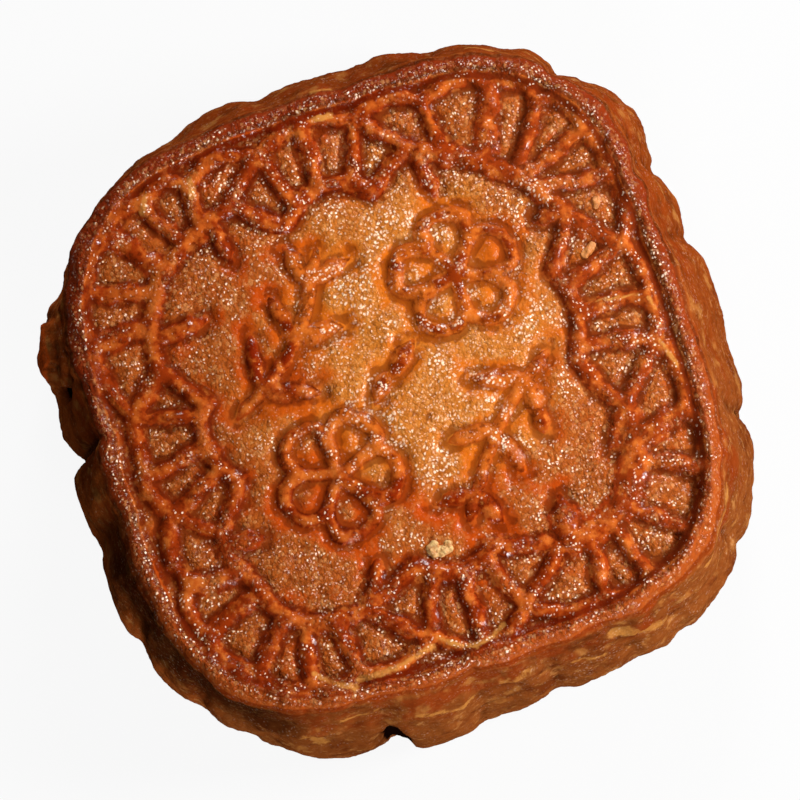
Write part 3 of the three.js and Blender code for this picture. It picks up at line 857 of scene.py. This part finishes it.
def crust_finish():
    """Egg-washed dough: golden floors, darker orange ridges, creases darkened with painted shade, a
    dark brown rim and an ochre wall"""
    material, net = bare_material("Baked crust")
    place = in_millimetres(net)
    x, y, z = net.split(place)
    lace, pressed, top = kept(net, "lace"), kept(net, "pressed"), kept(net, "top")
    ridge = net.math("MAXIMUM", lace, pressed)
    crease, shelter = kept(net, "crease"), kept(net, "shelter")
    rim, mark = kept(net, "rim"), kept(net, "mark")
    pale, open_floor = kept(net, "pale"), kept(net, "open")
    wall = 1 - top
    west, south = net.ease(x, -4.0, -26.0), net.ease(y, 10.0, -30.0)

    # Lumps of several sizes
    blotch = net.noise(place, 5.0, 1.0, 3.0)
    medium = net.noise(place, 1.2, 3.0, 3.0)
    fine = net.noise(place, 0.4, 23.0, 2.0)
    patches = net.noise(place, 2.2, 11.0, 3.0)
    pool = net.noise(place, 3.2, 9.0, 3.0)
    wide = net.noise(place, 9.0, 13.0, 2.0)

    # The grain: beads of dough, which fade out where the egg pooled, and in the rim's groove
    beads = net.add("ShaderNodeTexVoronoi", {"feature": "F1"}, {
        "Vector": net.vector_math("ADD", place, net.vector(medium, medium, medium)), "Scale": 1 / BEAD})
    raised = net.ease(ridge, 0.06, 0.3)
    crest = net.ease(ridge + medium * 0.7, 0.42, 0.85)
    flank = raised - crest
    puff = net.mix(0.5, kept(net, "puff"), top)
    inner = net.ease(net.math("SQRT", x * x + y * y), 23.0, 19.0) * top
    clear = net.mix(puff * 0.12, open_floor * 0.36 - 0.06, inner)
    pooled = net.ease(pool + wide * 0.4 - clear, -0.12, 0.14)
    bare = net.math("MAXIMUM", puff, net.ease(rim, 0.4, 0.8) * 0.8)
    grainy = net.ease(bare * 0.5 + patches * 1.6, -0.12, 0.32) * (1 - net.ease(flank, 0.1, 0.9) * 0.6)
    grainy = grainy * (1 - pooled * net.mix(puff * 0.5, 0.75, inner))
    groove = net.ease(rim, 0.02, 0.12) * net.ease(rim, 0.6, 0.3) * top
    grainy = grainy * (1 - groove * (0.75 - west * 0.4))
    luck, tone, _ = net.split(beads.out("Color"))

    # The top's floors: tan, more golden towards the middle, and orange where the egg pooled
    from_middle = net.vector_math("DISTANCE", net.vector(x, y, 0.0), GOLDEN_MIDDLE).out("Value")
    golden = net.ease(from_middle + blotch * 12 + wide * 24, 22.0, 8.0)
    floors = net.paint(TAN_FLOOR, GOLDEN_FLOOR, golden)
    floors = net.paint(floors, net.paint(POOLED_EGG, GOLDEN_EGG, golden), pooled * 0.85)

    # The ridges, orange-brown at their sides and golden on their crests
    flanks = net.paint(FLANK, DARK_FLANK, net.ease(medium + wide * 0.4, -0.08, 0.16))
    crests = net.paint(CREST, DARK_CREST, net.ease(medium + blotch * 0.6, -0.14, 0.08))
    colour = net.paint(floors, flanks, raised)
    colour = net.paint(colour, crests, crest * 0.85)
    # Painted shade: the creases at the ridges' feet are darkened where shade falls
    crease_shade = net.ease(crease + fine * 0.04, 0.012, 0.065) * net.mix(0.78, 0.6, inner)
    colour = net.paint(colour, CREASE_SHADE, crease_shade)
    colour = net.paint(colour, GOLDEN_RIDGE, net.ease(pressed, 0.04, 0.5) * golden * 0.45)
    scorch = net.ease(pressed, 0.5, 0.95) * net.ease(blotch + medium * 0.5, 0.0, 0.12)
    colour = net.paint(colour, SCORCH, scorch * 0.75)
    sides = net.math("MAXIMUM", raised, net.ease(rim, 0.05, 0.3) * top)
    dark_flecks = net.ease(fine * 0.7 + medium * 0.8, 0.03, 0.2) * sides
    colour = net.paint(colour, DARK_FLECK, dark_flecks * 0.6)
    light_flecks = net.ease(fine * 0.5 + medium, -0.04, -0.22) * sides
    colour = net.paint(colour, LIGHT_FLECK, light_flecks * 0.42)

    # The rim, its groove darkened with painted shade, with a thin lighter edge
    # Painted shade: the rim's groove is darkened, less so in the west
    colour = net.paint(colour, GROOVE_SHADE, groove * (0.9 - west * 0.4))
    crown = net.paint(CROWN, DARK_CROWN, net.ease(medium + blotch * 0.7, -0.12, 0.12))
    crown = net.paint(crown, SOUTH_CROWN, net.ease(y, -6.0, -30.0) * 0.7)
    colour = net.paint(colour, crown, net.ease(rim, 0.5, 0.85) * 0.85)
    edge = net.paint(RIM_EDGE, SOUTH_EDGE, south)
    colour = net.paint(colour, edge, net.ease(rim, 0.9, 0.98) * 0.75)

    # The wall, mottled and streaked, with painted shade under its bulges and towards the southwest,
    # and painted light on its far west side and on the lifted flap
    streaks = net.noise(net.vector_math("MULTIPLY", place, (1.0, 1.0, 0.6)), 2.2, 4.0, 4.0)
    mottle = net.noise(place, 1.7, 17.0, 4.0, 0.62)
    walls = net.paint(WALL, SOUTH_WALL, south)
    # Painted light: the far west wall is made lighter
    walls = net.paint(walls, WEST_WALL_LIGHT, net.ease(x, -28.0, -36.0) * 0.55)
    walls = net.paint(walls, WALL_BLOTCH, net.ease(blotch + medium * 0.5, -0.04, 0.2) * 0.8)
    walls = net.paint(walls, LIGHT_MOTTLE, net.ease(mottle, 0.05, 0.2) * 0.6)
    walls = net.paint(walls, DARK_MOTTLE, net.ease(mottle, -0.06, -0.2) * 0.6)
    dripped = net.ease(pool, -0.08, 0.1) * net.ease(z, 20.0, 28.0)
    walls = net.paint(walls, DRIPPED_EGG, dripped * 0.75)
    walls = net.paint(walls, STREAK, net.ease(streaks, 0.05, 0.2) * 0.6)
    # Painted shade: the wall is darkened under its bulges
    walls = net.paint(walls, SHADE_UNDER_BULGES, net.ease(shelter, 0.05, 0.5) * 0.8)
    # Painted shade: the southwest wall under the rim is painted near black
    southwest = net.ease(x + y, -30.0, -46.0) * net.ease(x - y, 14.0, 2.0) * net.ease(z, 16.0, 26.0)
    walls = net.paint(walls, SOUTHWEST_SHADE, southwest * 0.85)
    # Painted light: the lifted flap is made lighter than the wall round it
    walls = net.paint(walls, FLAP_LIGHT, net.ease(mark, 0.85, 1.2))
    colour = net.paint(colour, walls, wall * net.ease(z, 31.8, 30.2))
    # Pale edges on the top and pale flakes on the wall, lighter along their drawn lines
    pale_marks = net.ease(pale + medium * 1.6 + fine, 0.3, 1.0)
    colour = net.paint(colour, PALE_TONE, pale_marks * net.mix(0.65, 0.8, top))

    # Beads of their own tones, with painted shade between them, painted shade on the top towards the
    # west and a little painted light towards the east
    speckled = grainy * net.mix(0.25, 1.0, top)
    dark_beads = net.ease(tone, 0.55, 0.95) * speckled * net.mix(0.45, 0.25, inner)
    colour = net.paint(colour, DARK_BEAD, dark_beads)
    colour = net.paint(colour, LIGHT_BEAD, net.ease(tone, 0.38, 0.0) * speckled * 0.32)
    # Painted shade: the hollows between the beads are darkened
    between = net.ease(beads, 0.35, 0.75) * speckled * net.mix(0.32, 0.15, inner)
    colour = net.paint(colour, SHADE_BETWEEN_BEADS, between)
    # Painted shade: the top is darker towards the west
    colour = net.paint(colour, WEST_SHADE, west * top * 0.22)
    # Painted light: the top is a little lighter towards the east
    colour = net.paint(colour, EAST_LIGHT, net.ease(x, 6.0, 26.0) * top * 0.03)

    # Glints on some of the beads, in clusters on the floors and in chains along the crests
    chosen = net.ease(luck + golden * 0.24 - west * 0.1, 0.5, 0.76)
    cluster = net.ease(net.noise(place, 4.5, 61.0, 2.0) + patches * 0.4, -0.05, 0.09)
    chain = crest * net.ease(net.noise(place, 1.4, 71.0, 2.0), -0.08, 0.04)
    spread = 0.4 + cluster * (0.08 + golden * 0.18)
    dots = net.ease(beads, spread, 0.2) * chosen * net.math("MAXIMUM", grainy, chain)
    dots = dots * net.mix(0.4, 0.95, cluster) * net.mix(0.15, 1.0, top)
    colour = net.paint(colour, GLINT, dots)
    # Painted shade: the cuts in the wall are painted near black
    colour = net.paint(colour, CUT_SHADE, net.ease(mark, -0.75, -1.05))

    # The egg wash shines on the beads and in small smooth spots, but not in creases or on the wall
    dull = net.ease(crease, 0.0, 0.07) * 0.8
    dryness = wall * net.ease(z, 32.6, 31.8)
    sheen = net.ease(net.noise(place, 0.9, 21.0, 2.0), 0.06, 0.16) * 0.8
    gloss = net.mix(sheen, 0.08 + chosen * 0.7, grainy) * (1 - dull) * (1 - dryness)
    grain = fine * net.mix(1.5, 1.1, inner) - beads * beads * 0.4
    grain = grain * (0.2 + grainy * 0.8) * net.mix(0.3, 1.0, top)
    relief = net.add("ShaderNodeBump", None, {
        "Strength": 1.0, "Distance": BEAD_HEIGHT * MM, "Height": grain + medium * 0.8})
    glaze = net.add("ShaderNodeBsdfPrincipled", {"subsurface_method": "RANDOM_WALK"}, {
        "Base Color": colour, "Roughness": 0.13, "Normal": relief, "IOR": 1.5,
        "Subsurface Weight": 0.1, "Subsurface Radius": (1.0, 0.35, 0.1), "Subsurface Scale": 0.001,
        "Specular IOR Level": 0.5})
    dry = net.add("ShaderNodeBsdfPrincipled", None, {
        "Base Color": colour, "Roughness": 0.75, "Normal": relief, "Specular IOR Level": 0.0})
    shader = net.add("ShaderNodeMixShader", None, {0: gloss, 1: dry, 2: glaze})
    net.add("ShaderNodeOutputMaterial", None, {"Surface": shader})
    return material


def crumb_finish():
    """Pale dough, browner on the crumbs towards the east"""
    material, net = bare_material("Pale crumb")
    place = in_millimetres(net)
    x, _, _ = net.split(place)
    fine = net.noise(place, 0.4, 5.0, 3.0)
    colour = net.paint(CRUMB, BROWN_CRUMB, net.ease(fine, -0.1, 0.15))
    colour = net.paint(colour, EAST_CRUMB, net.ease(x, 5.0, 15.0) * 0.8)
    bump = net.add("ShaderNodeBump", None, {"Strength": 0.8, "Distance": 0.0002, "Height": fine})
    shader = net.add("ShaderNodeBsdfPrincipled", None, {
        "Base Color": colour, "Roughness": 0.5, "Normal": bump})
    net.add("ShaderNodeOutputMaterial", None, {"Surface": shader})
    return material


def table_finish():
    """A pale table that gives the cake little light from below"""
    material, net = bare_material("Pale table")
    plain = net.add("ShaderNodeBsdfDiffuse", None, {"Color": (0.3, 0.3, 0.3, 1)})
    glow = net.add("ShaderNodeEmission", None, {"Color": (1, 1, 1, 1), "Strength": 1.08})
    seen = net.add("ShaderNodeLightPath").out("Is Camera Ray")
    shader = net.add("ShaderNodeMixShader", None, {0: seen * 0.85, 1: plain, 2: glow})
    net.add("ShaderNodeOutputMaterial", None, {"Surface": shader})
    return material


# ---- crumbs ----

# Place, length, width, height and heading: a heap in the south, and three in the east
CRUMBS = [
    (-2.1, -18.4, 1.7, 1.3, 0.6, 40), (-2.0, -19.0, 1.5, 1.2, 0.6, 10),
    (-1.4, -19.0, 1.5, 1.2, 0.5, 70), (-0.9, -19.1, 1.5, 1.1, 0.5, 0),
    (-0.5, -18.7, 1.2, 1.0, 0.5, 30),
    (27.3, 10.8, 1.5, 0.9, 0.6, 64), (24.4, 6.0, 1.5, 1.0, 0.6, 30), (25.2, 6.5, 1.5, 1.0, 0.6, 34),
]

# The height from which a crumb is dropped onto the crust
DROP_HEIGHT = 60.0


def crumb_tree():
    """A ragged lump on each point that it is given, by the point's size and heading"""
    tree = bpy.data.node_groups.new("Crumbs", "GeometryNodeTree")
    length = "NodeSocketFloat"
    interface(tree, [
        ("Geometry", "NodeSocketGeometry", None), ("Roughness", length, 0.7), ("Seed", length, SEED),
        ("Finish", "NodeSocketMaterial", None)])
    net = Net(tree)
    size = net.add("NodeGroupInput").out
    lump = net.add("GeometryNodeMeshIcoSphere", None, {"Radius": 0.5, "Subdivisions": 4})
    points = net.add("GeometryNodeMeshToPoints", None, {0: size("Geometry")})
    crumbs = net.add("GeometryNodeInstanceOnPoints", None, {
        "Points": points, "Instance": lump.out("Mesh"),
        "Rotation": attribute(net, "heading", "FLOAT_VECTOR"),
        "Scale": attribute(net, "size", "FLOAT_VECTOR")})
    crumbs = net.add("GeometryNodeRealizeInstances", None, {"Geometry": crumbs})
    place = net.add("GeometryNodeInputPosition")
    ragged = net.noise(place, 0.6, size("Seed"), 3.0) * size("Roughness")
    push = net.scaled(net.add("GeometryNodeInputNormal"), ragged)
    crumbs = net.add("GeometryNodeSetPosition", None, {"Geometry": crumbs, "Offset": push})
    to_metres = net.vector_math("MULTIPLY", place, (MM, MM, MM))
    crumbs = net.add("GeometryNodeSetPosition", None, {"Geometry": crumbs, "Position": to_metres})
    crumbs = net.add("GeometryNodeSetShadeSmooth", None, {"Geometry": crumbs})
    crumbs = net.add("GeometryNodeSetMaterial", None, {"Geometry": crumbs, "Material": size("Finish")})
    net.add("NodeGroupOutput", None, {"Geometry": crumbs})
    return tree


def crumb_places(crust):
    """Points on the crust where the crumbs sit, with their sizes and headings"""
    surface = BVHTree.FromPolygons(
        [vertex.co for vertex in crust.data.vertices], [face.vertices for face in crust.data.polygons])
    mesh = bpy.data.meshes.new("crumb places")
    places, sizes, headings = [], [], []
    for x, y, length, width, height, heading in CRUMBS:
        hit, _, _, _ = surface.ray_cast(Vector((x * MM, y * MM, DROP_HEIGHT * MM)), Vector((0, 0, -1)))
        places.append((hit / MM)[:])
        sizes += [length, width, height]
        headings += [0, 0, math.radians(heading)]
    mesh.from_pydata(places, [], [])
    for name, values in (("size", sizes), ("heading", headings)):
        mesh.attributes.new(name, "FLOAT_VECTOR", "POINT").data.foreach_set("vector", values)
    return mesh


# ---- the camera, the lights and the table, in metres apart from the lens ----

VIEW_TILT = math.radians(6)
VIEW_ROLL = math.radians(20)
VIEW_DISTANCE = 0.6
LENS = 243
SENSOR = 36
FARTHEST_SEEN = 10
AIM = Vector((0, -0.0004, 0.015))
TOWARD = Vector((0, -math.sin(VIEW_TILT), math.cos(VIEW_TILT)))
LEVEL_UP = Vector((0, math.cos(VIEW_TILT), math.sin(VIEW_TILT)))
LEVEL_RIGHT = Vector((1, 0, 0))
RIGHT = math.cos(VIEW_ROLL) * LEVEL_RIGHT - math.sin(VIEW_ROLL) * LEVEL_UP
UP = math.sin(VIEW_ROLL) * LEVEL_RIGHT + math.cos(VIEW_ROLL) * LEVEL_UP

# Each lamp: its place to the right of the aim, up and towards the camera, its side and its power
LAMPS = [
    ("Key", 0.28, 0.06, 0.25, 0.1, 1.55),
    ("Lower right", 0.14, -0.42, 0.26, 0.12, 1.5),
    ("Upper", 0.02, 0.46, 0.26, 0.12, 1.7),
]
ROOM_GLOW = 0.04
TABLE_HALF = 3


def put_camera():
    lens = bpy.data.cameras.new("Camera")
    lens.sensor_width = SENSOR
    lens.lens = LENS
    lens.clip_end = FARTHEST_SEEN
    camera = linked("Camera", lens)
    turn = Matrix((RIGHT, UP, TOWARD)).transposed()
    camera.matrix_world = Matrix.Translation(AIM + VIEW_DISTANCE * TOWARD) @ turn.to_4x4()
    bpy.context.scene.camera = camera


def put_light(name, right, up, toward, side, power):
    """A square lamp at a place seen from the camera, turned to the cake"""
    lamp = bpy.data.lights.new(name, "AREA")
    lamp.shape = "SQUARE"
    lamp.size = side
    lamp.energy = power
    light = linked(name, lamp)
    way = right * RIGHT + up * UP + toward * TOWARD
    turn = way.to_track_quat("Z", "Y").to_matrix().to_4x4()
    light.matrix_world = Matrix.Translation(AIM + way) @ turn


def put_table():
    mesh = bpy.data.meshes.new("table")
    corners = [(x * TABLE_HALF, y * TABLE_HALF, 0) for x, y in ((-1, -1), (1, -1), (1, 1), (-1, 1))]
    mesh.from_pydata(corners, [], [(0, 1, 2, 3)])
    mesh.materials.append(table_finish())
    linked("table", mesh)


def put_room(strength):
    world = bpy.data.worlds.new("Room")
    world.use_nodes = True
    world.node_tree.nodes.clear()
    net = Net(world.node_tree)
    glow = net.add("ShaderNodeBackground", None, {"Color": (1, 1, 1, 1), "Strength": strength})
    net.add("ShaderNodeOutputWorld", None, {"Surface": glow})
    bpy.context.scene.world = world


put_camera()
for lamp in LAMPS:
    put_light(*lamp)
put_room(ROOM_GLOW)
put_table()
bpy.context.scene.view_settings.view_transform = "Standard"

# ---- the cake ----

quarters = [lace_quarter(quarter) for quarter in range(4)]
shifted = [[[(place + LACE_SHIFT, girth, rise) for place, girth, rise in line] for line in lines]
           for pair in quarters for lines in pair]
lace_outline = drawing("lace outline", [line for lines in shifted[0::2] for line in lines])
lace_ridges = drawing("lace ridges", [line for lines in shifted[1::2] for line in lines])
pattern = [line for flower in BLOSSOMS for line in blossom(*flower)]
pattern += [line for stem in SPRIGS for line in sprig(*stem)]
pattern += [leaf(*single) for single in LEAVES]
ornament = drawing("ornament", pattern)
marks = drawing("wall marks", [wall_mark(*mark) for mark in WALL_MARKS])
pale_edges = drawing("pale edges", [pale_line(*edge) for edge in PALE_EDGES])
flakes = [pale_line(unrolled(places), girth) for places, girth in PALE_FLAKES]
pale_flakes = drawing("pale flakes", flakes)
flutes = flute_table()

# The base stays at 0, so a low side gets its margin only where it lies below 0
crust = made_by(crust_tree(), "crust", {
    "Flutes": flutes, "Lace outline": lace_outline, "Lace ridges": lace_ridges,
    "Ornament": ornament, "Wall marks": marks, "Pale edges": pale_edges, "Pale flakes": pale_flakes,
    "Lowest": [part / MM + MARGIN * (part < 0) for part in cad_box[0]],
    "Highest": [part / MM - MARGIN for part in cad_box[1]],
    "Finish": crust_finish()})
crumbs = made_by(crumb_tree(), "crumbs", {"Finish": crumb_finish()}, crumb_places(crust))
for guide in (lace_outline, lace_ridges, ornament, marks, pale_edges, pale_flakes, flutes):
    bpy.data.objects.remove(guide)

for piece in (crust, crumbs):
    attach(piece, "root")
    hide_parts("mooncake")
